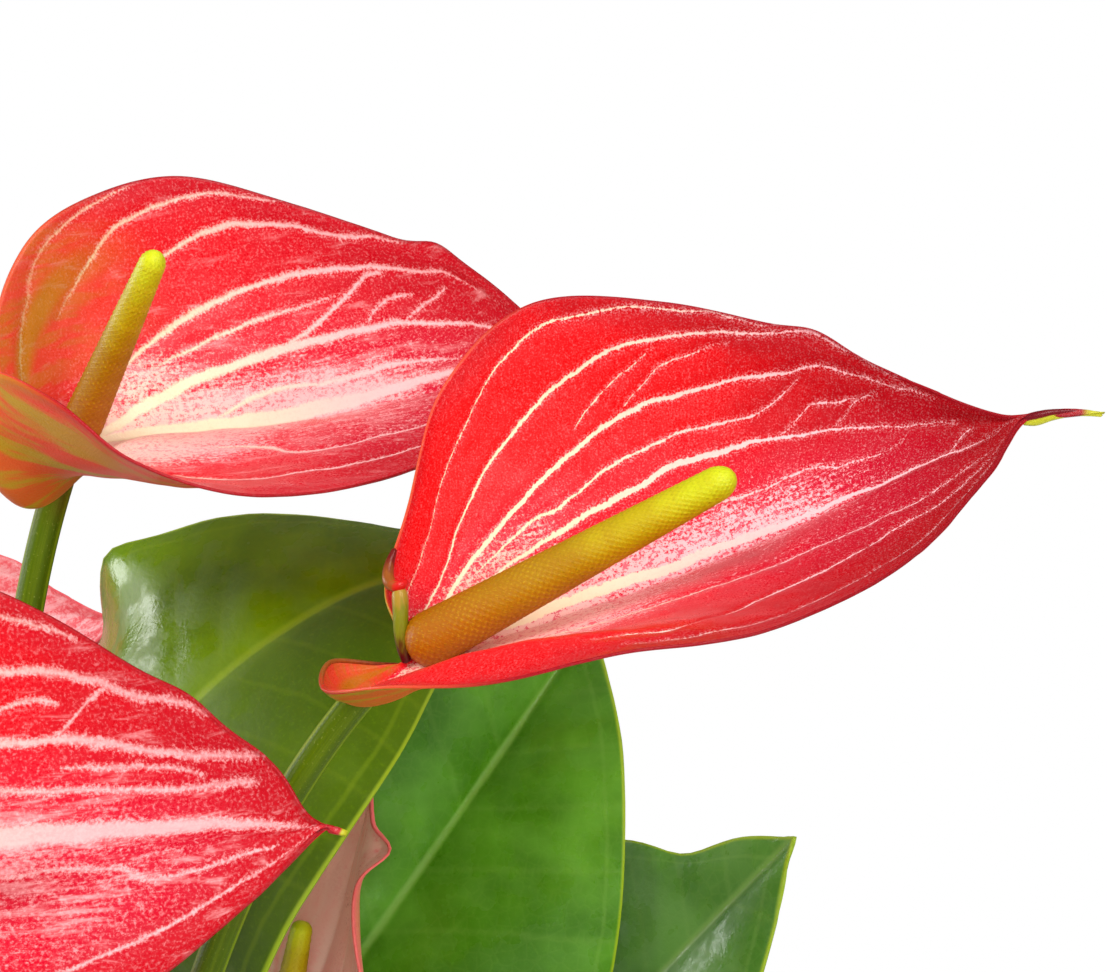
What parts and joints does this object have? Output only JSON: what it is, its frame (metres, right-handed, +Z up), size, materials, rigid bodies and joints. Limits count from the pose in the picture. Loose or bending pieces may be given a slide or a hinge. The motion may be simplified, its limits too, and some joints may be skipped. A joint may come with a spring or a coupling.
{
  "type": "potted flamingo flower",
  "caption": "Flamingo flower plant with red spathes, yellow spadices and heart-shaped leaves, in a plain round pot.",
  "frame": {"origin": "middle of the pot's foot, on the surface that the pot stands on", "axes": "+Z up; the front, where the largest bloom shows its face, looks along -Y; +X to its right"},
  "size_m": [0.3639, 0.3787, 0.4049],
  "materials": {
    "pot_glaze": "satin off-white glaze, plain",
    "potting_mix": "damp bark and peat, rough",
    "crown_bark": "olive-brown ringed stem with papery sheaths",
    "leaf": "leathery green with pale veins, satin gloss",
    "stalk": "smooth olive green, satin",
    "spathe": "waxy red with cream veins, glossy",
    "spadix": "fine florets, orange-yellow at the foot to lemon at the tip, waxy"
  },
  "bodies": {
    "root": {"pot": "pot_glaze", "potting_mix": "potting_mix", "crown_1": "crown_bark", "crown_2": "crown_bark", "crown_3": "crown_bark", "leaf_1": "leaf", "leaf_2": "leaf", "leaf_3": "leaf", "leaf_4": "leaf", "leaf_5": "leaf", "leaf_6": "leaf", "leaf_7": "leaf", "leaf_8": "leaf", "leaf_9": "leaf", "leaf_10": "leaf", "flower_stalk_1": "stalk", "spathe_1": "spathe", "spadix_1": "spadix", "flower_stalk_2": "stalk", "spathe_2": "spathe", "spadix_2": "spadix", "flower_stalk_3": "stalk", "spathe_3": "spathe", "spadix_3": "spadix", "flower_stalk_4": "stalk", "spathe_4": "spathe", "spadix_4": "spadix", "flower_stalk_5": "stalk", "spathe_5": "spathe", "spadix_5": "spadix"}
  },
  "joints": []
}
